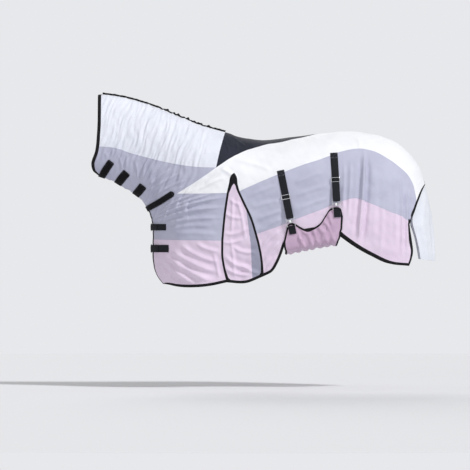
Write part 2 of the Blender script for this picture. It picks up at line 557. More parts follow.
def mesh_cloth(name, colour, shade, pitch=0.0022, sheen=0.25, rough=0.82, bump=0.35):
    """Fine knitted fly mesh: small round openings between crossing yarns, a soft sheen, faint shade variation."""
    mat, tree, bsdf = start_material(name)
    uv = add_node(tree, "ShaderNodeUVMap", {"uv_map": "yarns"})
    across = add_node(tree, "ShaderNodeTexWave", {"bands_direction": "X"},
                      {"Vector": (uv, "UV"), "Scale": 0.314 / pitch,
                      "Distortion": 0.6, "Detail": 1.0, "Detail Scale": 2.0})
    along = add_node(tree, "ShaderNodeTexWave", {"bands_direction": "Y"},
                     {"Vector": (uv, "UV"), "Scale": 0.314 / pitch,
                     "Distortion": 0.6, "Detail": 1.0, "Detail Scale": 2.0})
    grid = add_node(tree, "ShaderNodeMath", {"operation": "MAXIMUM"}, {0: (across, "Fac"), 1: (along, "Fac")})
    place = add_node(tree, "ShaderNodeTexCoord")
    drift = add_node(tree, "ShaderNodeTexNoise", None,
                     {"Vector": (place, "Object"), "Scale": 7.0, "Detail": 5.0, "Roughness": 0.6})
    mix = add_node(tree, "ShaderNodeMixRGB", {"blend_type": "MIX"},
                   {"Color1": linear(shade), "Color2": linear(colour)})
    ramp = add_node(tree, "ShaderNodeMapRange", None,
                    {"Value": (drift, "Fac"), "From Min": 0.30, "From Max": 0.62, "To Min": 0.35,
                     "To Max": 1.0})
    tree.links.new(ramp.outputs["Result"], mix.inputs["Fac"])
    hole = add_node(tree, "ShaderNodeMapRange", None,
                    {"Value": (grid, 0), "From Min": 0.15, "From Max": 0.65, "To Min": 0.80, "To Max": 1.0})
    knit = add_node(tree, "ShaderNodeMixRGB", {"blend_type": "MULTIPLY"},
                    {"Fac": 1.0, "Color1": (mix, "Color")})
    tree.links.new(hole.outputs["Result"], knit.inputs["Color2"])
    tree.links.new(knit.outputs["Color"], bsdf.inputs["Base Color"])
    bump_node = add_node(tree, "ShaderNodeBump", None,
                         {"Strength": bump, "Distance": 0.0004, "Height": (grid, 0)})
    tree.links.new(bump_node.outputs["Normal"], bsdf.inputs["Normal"])
    bsdf.inputs["Roughness"].default_value = rough
    bsdf.inputs["Sheen Weight"].default_value = sheen
    bsdf.inputs["Sheen Roughness"].default_value = 0.5
    bsdf.inputs["Specular IOR Level"].default_value = 0.25
    return mat


def ribbed_tape(name, colour, light, pitch=0.0018, rough=0.75, rib="Y", bump=0.6):
    """Woven polyester tape or webbing: fine ribs across the width, slightly lighter on the rib tops."""
    mat, tree, bsdf = start_material(name)
    uv = add_node(tree, "ShaderNodeUVMap", {"uv_map": "yarns"})
    ribs = add_node(tree, "ShaderNodeTexWave", {"bands_direction": rib},
                    {"Vector": (uv, "UV"), "Scale": 0.314 / pitch,
                    "Distortion": 0.4, "Detail": 1.0})
    other = add_node(tree, "ShaderNodeTexWave", {"bands_direction": "X" if rib == "Y" else "Y"},
                     {"Vector": (uv, "UV"), "Scale": 0.314 / (pitch * 1.6), "Distortion": 0.3})
    weave = add_node(tree, "ShaderNodeMath", {"operation": "MULTIPLY_ADD"},
                     {0: (other, "Fac"), 1: 0.35, 2: (ribs, "Fac")})
    place = add_node(tree, "ShaderNodeTexCoord")
    fuzz = add_node(tree, "ShaderNodeTexNoise", None,
                    {"Vector": (place, "Object"), "Scale": 240.0, "Detail": 3.0})
    fac = add_node(tree, "ShaderNodeMath", {"operation": "MULTIPLY"}, {0: (weave, 0), 1: (fuzz, "Fac")})
    mix = add_node(tree, "ShaderNodeMixRGB", {"blend_type": "MIX"},
                   {"Fac": (fac, 0), "Color1": linear(colour), "Color2": linear(light)})
    tree.links.new(mix.outputs["Color"], bsdf.inputs["Base Color"])
    bump_node = add_node(tree, "ShaderNodeBump", None,
                         {"Strength": bump, "Distance": 0.0004, "Height": (weave, 0)})
    tree.links.new(bump_node.outputs["Normal"], bsdf.inputs["Normal"])
    bsdf.inputs["Roughness"].default_value = rough
    bsdf.inputs["Sheen Weight"].default_value = 0.02
    bsdf.inputs["Specular IOR Level"].default_value = 0.25
    return mat


def nickel(name):
    """Nickel-plated steel wire: bright, with faint polishing scratches and handling marks."""
    mat, tree, bsdf = start_material(name)
    place = add_node(tree, "ShaderNodeTexCoord")
    marks = add_node(tree, "ShaderNodeTexNoise", None,
                     {"Vector": (place, "Object"), "Scale": 160.0, "Detail": 6.0, "Roughness": 0.7})
    rough = add_node(tree, "ShaderNodeMapRange", None,
                     {"Value": (marks, "Fac"), "From Min": 0.3, "From Max": 0.7, "To Min": 0.16,
                      "To Max": 0.34})
    tree.links.new(rough.outputs["Result"], bsdf.inputs["Roughness"])
    bsdf.inputs["Base Color"].default_value = linear("E2E3E6")
    bsdf.inputs["Metallic"].default_value = 1.0
    return mat


MAT = {
    "white": mesh_cloth("white_fly_mesh", "F4F5F9", "EAECF4"),
    "tail_white": mesh_cloth("white_tail_mesh", "E4E7EF", "D8DCE7"),
    "neck_white": mesh_cloth("white_neck_mesh", "E6E9F3", "DADEEB"),
    "grey": mesh_cloth("lilac_grey_fly_mesh", "BCBDD1", "AEAFC6"),
    "grey_flank": mesh_cloth("lilac_grey_flank_mesh", "C0C1D5", "B2B3CA"),
    "grey_deep": mesh_cloth("lilac_grey_gusset_mesh", "A0A0B5", "9191A7"),
    "pink": mesh_cloth("soft_pink_fly_mesh", "E4D3E7", "DAC8DE"),
    "flap_pink": mesh_cloth("soft_pink_flap_mesh", "CBB0C9", "B497B3"),
    "charcoal": mesh_cloth("charcoal_stretch_knit", "292C39", "1D1F2A", pitch=0.0014, sheen=0.03, rough=0.75,
                           bump=0.2),
    "tape": ribbed_tape("black_edge_tape", "07070A", "17171C", pitch=0.0015),
    "webbing": ribbed_tape("charcoal_elastic_webbing", "0C0D12", "25272F", pitch=0.0022),
    "hook_tape": ribbed_tape("black_hook_and_loop_tape", "050507", "131318", pitch=0.0012, rough=0.95,
                             bump=0.9),
    "nickel": nickel("nickel_plated_steel"),
    "thread_white": ribbed_tape("white_sewing_thread", "DADDE6", "FFFFFF", pitch=0.0006),
    "thread_grey": ribbed_tape("grey_sewing_thread", "7E7F92", "A9AABB", pitch=0.0006),
    "thread_pink": ribbed_tape("pink_sewing_thread", "C2A6C2", "E6D2E6", pitch=0.0006),
    "thread_black": ribbed_tape("dark_sewing_thread", "2A2B33", "50525E", pitch=0.0006),
}


# ---- mesh building ------------------------------------------------------------------------------
SHARP_ANGLE = 58        # degrees between faces, above which an edge stays sharp
CUT_SHARE = 0.99        # flat area given for a panel, as a share of its built area


def add_object(name, data):
    obj = bpy.data.objects.new(name, data)
    bpy.context.scene.collection.objects.link(obj)
    return obj


def finish_mesh(name, verts, faces, mat, uvs=None):
    """Object with smooth faces, creased where they meet sharply."""
    mesh = bpy.data.meshes.new(name)
    mesh.from_pydata([tuple(v) for v in verts], [], [tuple(f) for f in faces])
    if uvs is not None:
        layer = mesh.uv_layers.new(name="yarns")
        loops = np.array([v for f in faces for v in f])
        layer.data.foreach_set("uv", np.asarray(uvs, float)[loops].ravel())
    mesh.polygons.foreach_set("use_smooth", [True] * len(mesh.polygons))
    mesh.set_sharp_from_angle(angle=math.radians(SHARP_ANGLE))
    mesh.materials.append(mat)
    return add_object(name, mesh)


def grid_uv(p):
    """Distances along the cloth, in metres, for the weave."""
    du = np.linalg.norm(np.diff(p, axis=1), axis=2).mean(0)
    dv = np.linalg.norm(np.diff(p, axis=0), axis=2).mean(1)
    u, v = np.r_[0, np.cumsum(du)], np.r_[0, np.cumsum(dv)]
    return np.stack(np.meshgrid(u, v), -1).reshape(-1, 2)


def area_of(p):
    a, b = p[1:, 1:] - p[:-1, :-1], p[1:, :-1] - p[:-1, 1:]
    return float(np.linalg.norm(np.cross(a, b), axis=-1).sum() / 2)


def open_grid(name, p, n, mat, thick, base):
    """Cloth of the given thickness on a grid, its outer face outwards, with closed edges."""
    rows, cols = p.shape[:2]
    inner, outer = p + n * base, p + n * (base + thick)
    verts = np.vstack([inner.reshape(-1, 3), outer.reshape(-1, 3)])
    uv = grid_uv(p)
    k = rows * cols
    r, c = np.meshgrid(np.arange(rows - 1), np.arange(cols - 1), indexing="ij")
    a = (r * cols + c).ravel()
    quads = np.stack([a, a + 1, a + cols + 1, a + cols], 1)
    # pick the winding whose faces point along n
    q = quads[len(quads) // 2]
    fn = np.cross(verts[q[1]] - verts[q[0]], verts[q[3]] - verts[q[0]])
    flip = np.dot(fn, n.reshape(-1, 3)[q[0]]) < 0
    out = quads[:, ::-1] if flip else quads
    faces = [tuple(f) for f in (out + k)] + [tuple(f) for f in out[:, ::-1]]
    rim = (list(range(cols)) + [i * cols + cols - 1 for i in range(1, rows)]
           + [(rows - 1) * cols + i for i in range(cols - 2, -1, -1)]
           + [i * cols for i in range(rows - 2, 0, -1)])
    for i, a in enumerate(rim):
        b = rim[(i + 1) % len(rim)]
        faces.append((b, a, k + a, k + b) if flip else (a, b, k + b, k + a))
    return finish_mesh(name, verts, faces, mat, np.vstack([uv, uv]))


PANELS = {}


def cloth(name, grid3, normals, mat, body="sheet", held="draped", rests=()):
    """One cloth panel, noted for declare_sheets with its longest row and column and its area."""
    obj = open_grid(name, grid3, normals, mat, YARN, CLOTH - YARN)
    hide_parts(name)
    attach(obj, body)
    du = float(np.linalg.norm(np.diff(grid3, axis=1), axis=2).sum(1).max())
    dv = float(np.linalg.norm(np.diff(grid3, axis=0), axis=2).sum(0).max())
    area = area_of(grid3) * CUT_SHARE
    PANELS[name] = (obj, (du, dv), min(area, du * dv), held, rests)
    return obj


def cloth_sides(name, grid2, mat, rests=(), split=(2, 2)):
    made = []
    for side, mirror in (("left", False), ("right", True)):
        p, n = worn(grid2, mirror, split=split)
        made.append((cloth(f"{name}_{side}", p, n, mat, rests=[r.format(side) for r in rests]), p))
    return made


def tape(name, grid3, normals, body="sheet", height=BINDING):
    """Folded edge tape: rounded over its width, standing a little proud of the cloth."""
    a, b = grid3[0], grid3[-1]
    na, nb = normals[0], normals[-1]
    us = np.array([0.0, 0.04, 0.14, 0.32, 0.5, 0.68, 0.86, 0.96, 1.0])
    crown = height * np.array([0.12, 0.55, 0.88, 0.98, 1.0, 0.98, 0.88, 0.55, 0.12])
    top, low, uv = [], [], []
    run = along((a + b) / 2)
    for u, c in zip(us, crown):
        p = a + (b - a) * u
        n = na + (nb - na) * u
        n = unit(n)
        top.append(p + n * c)
        low.append(p + n * 0.0002)
        uv.append(np.c_[np.full(len(a), u * BINDING_WIDTH), run])
    verts = np.vstack(top + [low[0], low[-1]])
    cols = len(a)
    k = len(us)
    faces = []
    for r in range(k - 1):
        for c in range(cols - 1):
            faces.append((r * cols + c, r * cols + c + 1, (r + 1) * cols + c + 1, (r + 1) * cols + c))
    L0, L1 = k * cols, (k + 1) * cols
    for c in range(cols - 1):
        faces.append((L0 + c, L0 + c + 1, c + 1, c))
        t = (k - 1) * cols
        faces.append((t + c, t + c + 1, L1 + c + 1, L1 + c))
        faces.append((L1 + c, L1 + c + 1, L0 + c + 1, L0 + c))
    for c, order in ((0, 1), (cols - 1, -1)):
        ring = [L0 + c] + [r * cols + c for r in range(k)] + [L1 + c]
        faces.append(tuple(ring[::order]))
    obj = finish_mesh(name, verts, faces, MAT["tape"], np.vstack(uv + [uv[0], uv[-1]]))
    right_way_out(obj)
    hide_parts(name)
    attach(obj, body)


def tape_sides(name, grid2, height=BINDING):
    for side, mirror in (("left", False), ("right", True)):
        p, n = worn(grid2, mirror, split=(1, 2))
        tape(f"{name}_{side}", p, n, height=height)


# ---- cloth pieces -------------------------------------------------------------------------------
K = FINE


def even_rows(lanes, rows):
    """Resample each lane (axis 0) into rows parts of equal length on the worn surface."""
    flat = lanes.reshape(-1, 2)
    p3 = np.c_[flat[:, 0], -np.sqrt(np.maximum(depth_squared(flat), 0)),
               flat[:, 1]].reshape(*lanes.shape[:2], 3)
    s = np.cumsum(np.linalg.norm(np.diff(p3, axis=0), axis=2), axis=0)
    s = np.vstack([np.zeros(s.shape[1]), s])
    out = np.zeros((rows + 1, lanes.shape[1], 2))
    for i in range(lanes.shape[1]):
        at = np.linspace(0, s[-1, i], rows + 1)
        out[:, i] = np.stack([np.interp(at, s[:, i], lanes[:, i, k]) for k in (0, 1)], 1)
    return out


def lane_even(a, b, rows):
    """Straight side-view lanes a->b in rows parts of equal length on the worn surface."""
    # closer samples at the ends, where the side rounds over the back or under the throat
    t = (1 - np.cos(np.linspace(0, math.pi, 91))) / 2
    return even_rows(a[None] + t[:, None, None] * (b - a)[None], rows)


def fine_patch(bottom, top, front=None, rear=None, rows=36):
    grid = lane_even(bottom, top, rows)
    u = np.linspace(0, 1, len(bottom))[None, :, None]
    if front is not None:
        grid += (1 - u) * (front[:, None] - grid[:, :1])
    if rear is not None:
        grid += u * (rear[:, None] - grid[:, -1:])
    # the curved ends have moved the rows, so they are spaced evenly again
    at = np.r_[np.linspace(0, 1, 41)**2, np.arange(9, 8 * rows - 7) / 8, rows - np.linspace(1, 0, 41)**2]
    low = np.minimum(at.astype(int), rows - 1)
    part = (at - low)[:, None, None]
    return even_rows(grid[low] * (1 - part) + grid[low + 1] * part, rows)


def build_neck(n):
    seam = n["neck_seam"]
    cloth_sides("neck_white", fine_patch(seam, n["crest"], n["poll_in"][9 * K:], n["insert_front"], 6 * K),
                MAT["neck_white"],
                rests=["crest_binding", "poll_binding"], split=(2, 3))
    side = chain(n["neck_body"], n["neck_up"])
    cloth_sides("neck_grey", fine_patch(n["throat"], seam, n["poll_in"][:9 * K + 1], side, 9 * K),
                MAT["grey"], rests=["neck_white_{}"], split=(1, 3))
    p, q = worn_across(np.stack([n["poll_out"], n["poll_in"]], 1), split=(2, 1))
    # the head-end tape runs round the neck, so its width is the second index
    tape("poll_binding", p.transpose(1, 0, 2), q.transpose(1, 0, 2))
    p, q = worn_across(fine_patch(n["insert_low"], n["insert_top"], n["insert_front"], None, 6 * K),
                       loose=0.6, split=(2, 2))
    cloth("wither_stretch_insert", p, q, MAT["charcoal"], held="stretched",
          rests=["neck_white_left", "neck_white_right"])
    crest_tape(n["crest"])


def crest_tape(line2):
    """Tape folded over the standing crest seam: two rounded cheeks and a slightly wavy top."""
    line2 = finer(line2, 3, 0)
    up = surface(line2)[1]
    base = np.c_[line2[:, 0], np.zeros(len(line2)), line2[:, 1]] + up * (CLOTH + 0.0004)
    run = along(base)
    rough = 0.25 + soft((run - 0.36) / 0.10) * soft((0.80 - run) / 0.10)
    wave = rough * (0.0020 * np.sin(run * 150 + 2 * np.sin(run * 23)) + 0.0016 * np.sin(run * 87 + 1)
                    + 0.0012 * np.sin(run * 260))
    profile = [(-0.0026, 0.0), (-0.0027, 0.004), (-0.0026, 0.0085), (-0.0018, 0.0112), (0.0, 0.0122),
               (0.0018, 0.0112),
               (0.0026, 0.0085), (0.0027, 0.004), (0.0026, 0.0)]
    verts, uvs = [], []
    for i, (y, h) in enumerate(profile):
        verts.append(base + up * (h + wave[:, None] * (0.4 + h / 0.012))
                     + np.c_[np.zeros(len(run)), y + wave * 0.9, np.zeros(len(run))])
        uvs.append(np.c_[np.full(len(run), i * 0.003), run])
    cols = len(run)
    k = len(profile)
    faces = [(r % k * cols + c, r % k * cols + c + 1, (r + 1) % k * cols + c + 1, (r + 1) % k * cols + c)
             for r in range(k) for c in range(cols - 1)]
    faces += [tuple(r * cols for r in range(k)), tuple(r * cols + cols - 1 for r in range(k))[::-1]]
    obj = finish_mesh("crest_binding", np.vstack(verts), faces, MAT["tape"], np.vstack(uvs))
    right_way_out(obj)
    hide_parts("crest_binding")
    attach(obj, "sheet")


def right_way_out(obj):
    bm = bmesh.new()
    bm.from_mesh(obj.data)
    bmesh.ops.recalc_face_normals(bm, faces=bm.faces)
    if bm.calc_volume(signed=True) < 0:
        bmesh.ops.reverse_faces(bm, faces=bm.faces)
    bm.to_mesh(obj.data)
    bm.free()


def build_body(n):
    bottom = chain(n["seam_f"], n["leg_f"][10 * K:], n["leg_r"][:10 * K - 1:-1], n["seam_r"])
    top = chain(n["neck_up"], n["insert_low"], refine(np.array([n["insert_low"][-1], n["tip"]])), n["spine"])
    bottom[:2] = bottom[0] + np.array([[0.02], [0.5]]) * (bottom[2] - bottom[0])
    top[:2] = top[0] + np.array([[0.02], [0.5]]) * (top[2] - top[0])
    cloth_sides("back_white", fine_patch(bottom, top, None, n["rear_in"][10 * K:], 6 * K), MAT["white"],
                rests=["wither_stretch_insert"])
    front = chain(n["neck_body"][K:], n["seam_f"])
    cloth_sides("shoulder_grey", fine_patch(n["pink_f"], front, n["chest_in"][6 * K:],
                                            n["leg_f"][6 * K:10 * K + 1], 4 * K), MAT["grey"],
                rests=["back_white_{}"])
    cloth_sides("shoulder_pink", fine_patch(n["hem_in"][:11 * K + 1], n["pink_f"], n["chest_in"][:6 * K + 1],
                                            n["leg_f"][:6 * K + 1], 6 * K),
                MAT["pink"], rests=["shoulder_grey_{}"])
    cloth_sides("flank_grey", fine_patch(n["pink_r"], n["seam_r"], n["leg_r"][6 * K:10 * K + 1],
                                         n["rear_in"][6 * K:10 * K + 1], 4 * K),
                MAT["grey_flank"], rests=["back_white_{}"])
    cloth_sides("flank_pink", fine_patch(n["hem_in"][17 * K:], n["pink_r"], n["leg_r"][:6 * K + 1],
                                         n["rear_in"][:6 * K + 1], 6 * K),
                MAT["pink"], rests=["flank_grey_{}"])
    for key in ("f", "r"):
        slim = 0.76 + 0.24 * (1 - soft(np.linspace(0, 14 * K, 14 * K + 1) / (2 * K)))
        n["in_" + key] = n["leg_" + key] + (n["in_" + key] - n["leg_" + key]) * slim[:, None]
    apex = (n["in_f"][-1] + n["in_r"][-1]) / 2
    n["in_f"][-1], n["in_r"][-1] = apex - [0.0009, 0], apex + [0.0009, 0]
    top = even(np.array([n["in_f"][-1], n["in_r"][-1]]), 4 * K)
    made = cloth_sides("gusset", fine_patch(n["hem_in"][12 * K:16 * K + 1], top, n["in_f"], n["in_r"],
                                            14 * K), MAT["pink"],
                       rests=["gusset_binding_{}"], split=(2, 3))
    for obj, p in made:
        grey_strip(obj, p)
    outer, inner = chain(n["leg_f"], n["leg_r"][::-1]), np.vstack([n["in_f"], n["in_r"][-2::-1]])
    inner[14 * K] = apex + [0, 0.001]
    tape_sides("gusset_binding", np.stack([outer, inner]))
    tape_sides("hem_binding", np.stack([n["hem_out"], n["hem_in"]]))
    broad = 1 + 0.5 * soft(np.arange(len(n["rear_out"])) / (4 * K))
    tape_sides("rear_binding", np.stack([n["rear_out"],
                                         n["rear_out"] + (n["rear_in"] - n["rear_out"]) * broad[:, None]]))
    broad = 1 + 3.0 * soft((np.arange(10 * K + 1) - K) / (3 * K))
    wide = n["chest_out"] + (n["chest_in"] - n["chest_out"]) * broad[:, None]
    tape_sides("chest_binding", np.stack([wide, n["chest_out"]]), 0.0058)


def grey_strip(obj, p):
    """The gusset's rear part is cut from the grey mesh; it widens towards the hem."""
    obj.data.materials.append(MAT["grey_deep"])
    rows, cols = p.shape[:2]
    x, z = p[..., 0], p[..., 2]
    inside = x > np.interp(-z, [0.34, 0.40, 0.676, 0.90], [-0.070, -0.030, 0.004, 0.014])
    cell = (inside[:-1, :-1] & inside[1:, 1:]).ravel()
    count = (rows - 1) * (cols - 1)
    index = np.zeros(len(obj.data.polygons), int)
    index[:count], index[count:2 * count] = cell, cell
    obj.data.polygons.foreach_set("material_index", index)


def build_tail(n):
    seam = n["coarse_rear_out"][6:]
    front = chain(line(TAIL_FRONT, 6), even(np.vstack([spline(TAIL_FRONT)[-1], seam[2:-1],
                                                       seam[-1] + [-0.004, -0.014]]), 8))
    back = on_line(TOP, point(*TAIL_BOTTOM[-1]), seam[-1] + [0.003, -0.018], 14)
    p, q = worn_across(fine_patch(refine(front), refine(back), None, None, 30))
    # soft lengthwise folds that open towards the bottom
    rows = p.shape[0]
    across_pos = np.linspace(-1, 1, rows)[:, None]
    down = np.linspace(1, 0, p.shape[1])[None, :]
    fold = (0.0070 * np.sin(across_pos * 9.0 + 0.5)
            + 0.0035 * np.sin(across_pos * 19.0 + 1.0 + 2 * down)) * soft(down / 0.8)
    p = p + q * (fold - 0.004 * soft(down))[..., None]
    cloth("tail_flap", p, q, MAT["tail_white"], body="tail_flap_body", held="hung",
          rests=["back_white_left", "back_white_right"])


# ---- belly flap ---------------------------------------------------------------------------------
FLAP_TOP = [(0.241, -0.552), (0.262, -0.533), (0.287, -0.536), (0.33, -0.560), (0.374, -0.577),
            (0.42, -0.560),
            (0.455, -0.536), (0.49, -0.485), (0.527, -0.437), (0.555, -0.431), (0.582, -0.434),
            (0.604, -0.490)]
FLAP_TURN = 0.080       # the flap turns under the belly this far above its lowest line
FLAP_END = -0.566       # height of the sewn edge on the right side
FLAP_FRONT = [(0.0, 0.241), (0.35, 0.219), (0.45, 0.230), (1.0, 0.238)]
FLAP_REAR = [(0.0, 0.604), (0.3, 0.599), (0.5, 0.570), (1.0, 0.560)]
FLAP_OFF = 0.0075       # the flap's inner face stands this far off the side panels
# (x, z, radius): where a ring's tab holds the flap flat
FLAP_HELD = [(0.275, -0.665, 0.030), (0.571, -0.555, 0.030), (0.273, -0.60, 0.032), (0.568, -0.50, 0.032)]


def flap_point(x, top, v):
    """Point of the flap's inner face: v 0 at the top of the left side, 1 at the sewn right edge."""
    zb = np.interp(x, [0.2, 0.35, 0.46, 0.60],
                   [-0.745, -0.712, -0.690, -0.668])
    z1 = zb + FLAP_TURN
    y1 = surface([[x, z1]])[0][0, 1] - FLAP_OFF
    if v < 0.35:
        z = top + (z1 - top) * v / 0.35
        return np.array([x, surface([[x, z]])[0][0, 1] - FLAP_OFF, z])
    if v < 0.95:
        a = math.pi * (v - 0.35) / 0.60
        c, s = math.cos(a), math.sin(a)
        return np.array([x, math.copysign(abs(c) ** 0.42, c) * y1, z1 + (zb - z1) * s ** 0.42])
    end = surface([[x, FLAP_END]])[0][0, 1] - BINDING - 0.0007
    t = (v - 0.95) / 0.05
    return np.array([x, -y1 + (y1 - end) * t, z1 + (FLAP_END - z1) * t])


def flap_grid(shift, count):
    """Flap points with every free edge moved in by shift."""
    vs = np.r_[np.linspace(0, 0.35, 19), np.linspace(0.35, 0.95, 41)[1:], np.linspace(0.95, 1, 4)[1:]]
    tops = spline(FLAP_TOP, 200)
    cols = []
    for u in np.linspace(0, 1, count + 1):
        col = []
        for v in vs:
            f = np.interp(v, *np.array(FLAP_FRONT).T) + shift
            r = np.interp(v, *np.array(FLAP_REAR).T) - shift
            x = f + (r - f) * u
            x0 = tops[0, 0] + shift + (tops[-1, 0] - tops[0, 0] - 2 * shift) * u
            col.append(flap_point(x, np.interp(x0, tops[:, 0], tops[:, 1]) - 1.15 * shift, v))
        cols.append(col)
    return np.array(cols)


def grid_normals(grid):
    n = np.cross(np.gradient(grid, axis=0), np.gradient(grid, axis=1))
    n = unit(n)
    if (n[grid.shape[0] // 2, 1] * [0, -1, 0]).sum() < 0:
        n = -n
    return n


def edge_loop(grid):
    """Free edges of the flap: front edge up, across the top, rear edge down."""
    return np.concatenate([grid[0, ::-1], grid[1:-1, 0], grid[-1]])


def build_flap():
    inner, outer = flap_grid(0.012, 110), flap_grid(0.0, 110)
    n_in = grid_normals(inner)

    def ripple(g):
        x, y, z = g[..., 0], g[..., 1], g[..., 2]
        edge = np.linspace(0, 1, g.shape[1])
        fade = soft(edge / 0.05) * soft((1 - edge) / 0.10)
        lines = 0.0068 * np.sin(6.283 * (x * 0.9 + z * 0.45) / 0.047
                                + 1.3 * wander(x, z + y, 0.20, 3)) + 0.0040 * wander(x, z + y, 0.10, 6)
        pull = crease(x, z, (0.285, -0.56), (0.36, -0.70), 0.009, 0.0090) + crease(x, z, (0.545, -0.50),
                                                                                   (0.44, -0.69), 0.009,
                                                                                   0.0100)
        pull = pull + crease(x, z, (0.530, -0.505), (0.495, -0.64), 0.006, -0.0030)
        left = (y < 0) * 1.0
        return np.clip((lines * 0.8 + pull * left) * fade[None, :], -0.003, 0.012)
    hold = np.ones(inner.shape[:2])
    for hx, hz, r in FLAP_HELD:
        hold = np.minimum(hold, soft((np.hypot(inner[..., 0] - hx, inner[..., 2] - hz) - r) / 0.03)
                          + (inner[..., 1] > 0))
    move = ripple(inner) * np.clip(hold, 0, 1)
    shaped = inner + n_in * move[..., None]
    cloth("belly_flap", shaped, n_in, MAT["flap_pink"], body="belly_flap_body", held="hung",
          rests=["flap_tab_front", "flap_tab_rear", "hem_binding_right"])
    edge_move = edge_loop(move[..., None])
    n_edge = edge_loop(n_in)
    pair = np.stack([edge_loop(inner) + n_edge * edge_move, edge_loop(outer) + n_edge * edge_move])
    tape("belly_flap_binding", pair, np.stack([n_edge, n_edge]), body="belly_flap_body")


# ---- webbing, tabs and metal --------------------------------------------------------------------
def webbing(name, path, side, width, body, steps=3):
    """Flat woven strap swept along a path, with rounded selvedges."""
    path = np.asarray(path, float)
    side = np.array(np.broadcast_to(np.asarray(side, float), path.shape))
    fine, sides = [path[0]], [side[0]]
    for a, b, s0, s1 in zip(path[:-1], path[1:], side[:-1], side[1:]):
        for t in np.arange(1, steps + 1) / steps:
            fine.append(a + (b - a) * t)
            sides.append(s0 + (s1 - s0) * t)
    path, side = np.array(fine), np.array(sides)
    for _ in range(2):
        path[1:-1] = path[1:-1] * 0.5 + (path[:-2] + path[2:]) * 0.25
    side = unit(side)
    tangent = np.gradient(path, axis=0)
    n = np.cross(tangent, side)
    n = unit(n)
    run = along(path)
    h, t = width / 2, WEB / 2
    section = [(-h, 0), (-h + 0.3 * t, -0.75 * t), (-h + t, -t), (-h / 3, -t), (h / 3, -t), (h - t, -t),
               (h - 0.3 * t, -0.75 * t),
               (h, 0), (h - 0.3 * t, 0.75 * t), (h - t, t), (h / 3, t), (-h / 3, t), (-h + t, t),
               (-h + 0.3 * t, 0.75 * t)]
    k = len(section)
    verts = np.concatenate([[p + s * a + m * b for a, b in section] for p, s, m in zip(path, side, n)])
    uvs = np.concatenate([[(a + h, r) for a, b in section] for r in run])
    faces = []
    for i in range(len(path) - 1):
        for j in range(k):
            a, b = k * i + j, k * i + (j + 1) % k
            faces.append((a, b, b + k, a + k))
    faces += [tuple(range(k - 1, -1, -1)), tuple(k * (len(path) - 1) + j for j in range(k))]
    obj = finish_mesh(name, verts, faces, MAT["webbing"], uvs)
    right_way_out(obj)
    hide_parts(name)
    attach(obj, body)


def wire(name, points, radius, cyclic=True):
    """Round metal wire along a path, as a mesh."""
    data = bpy.data.curves.new(name, "CURVE")
    data.dimensions = "3D"
    data.bevel_depth = radius
    data.bevel_resolution = 5
    data.use_fill_caps = True
    s = data.splines.new("POLY")
    s.points.add(len(points) - 1)
    for p, q in zip(s.points, points):
        p.co = (*q, 1)
    s.use_cyclic_u = cyclic
    obj = add_object(name, data)
    mesh = bpy.data.meshes.new_from_object(obj.evaluated_get(bpy.context.evaluated_depsgraph_get()))
    bpy.data.objects.remove(obj)
    out = bpy.data.objects.new(name, mesh)
    mesh.materials.clear()
    mesh.materials.append(MAT["nickel"])
    mesh.polygons.foreach_set("use_smooth", [True] * len(mesh.polygons))
    bpy.context.scene.collection.objects.link(out)
    return out


def plate(name, path, side, width, thick):
    """Flat metal tongue with softened edges."""
    path = np.asarray(path, float)
    for _ in range(2):
        mid = (path[:-1] + path[1:]) / 2
        path = np.vstack([path[:1], np.stack([mid * 0.5 + path[:-1] * 0.5, mid * 0.5 + path[1:] * 0.5],
                                             1).reshape(-1, 3), path[-1:]])
    tangent = np.gradient(path, axis=0)
    n = np.cross(tangent, side)
    n = unit(n)
    h, t = width / 2, thick / 2
    widths = np.full(len(path), h)
    widths[-4:] *= [0.97, 0.90, 0.78, 0.6]
    verts, k = [], 8
    for p, m, w in zip(path, n, widths):
        for a, b in ((-w, -0.5 * t), (-w + 0.5 * t, -t), (w - 0.5 * t, -t), (w, -0.5 * t), (w, 0.5 * t),
                     (w - 0.5 * t, t), (-w + 0.5 * t, t), (-w, 0.5 * t)):
            verts.append(p + side * a + m * b)
    faces = [(k * i + j, k * i + (j + 1) % k, k * (i + 1) + (j + 1) % k, k * (i + 1) + j)
             for i in range(len(path) - 1) for j in range(k)]
    faces += [tuple(range(k - 1, -1, -1)), tuple(k * (len(path) - 1) + j for j in range(k))]
    obj = finish_mesh(name, verts, faces, MAT["nickel"])
    right_way_out(obj)
    return obj


def merge(name, objs, node, body):
    """One metal piece from its wire and its plate."""
    bm = bmesh.new()
    for o in objs:
        bm.from_mesh(o.data)
    mesh = bpy.data.meshes.new(name)
    bm.to_mesh(mesh)
    bm.free()
    mesh.materials.append(MAT["nickel"])
    for o in objs:
        bpy.data.objects.remove(o)
    obj = add_object(name, mesh)
    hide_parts(node)
    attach(obj, body)
    return obj


def arc(centre, radius, start, stop, count):
    t = np.radians(np.linspace(start, stop, count))
    return [(centre[0] + radius * math.cos(x), centre[1] + radius * math.sin(x)) for x in t]


def round_rectangle(half_w, half_h, corner, count=8):
    pts = []
    for cx, cy, start in ((half_w, half_h, 0), (-half_w, half_h, 90), (-half_w, -half_h, 180),
                          (half_w, -half_h, 270)):
        sx, sy = math.copysign(half_w - corner, cx), math.copysign(half_h - corner, cy)
        pts += arc((sx, sy), corner, start, start + 90, count)
    return pts


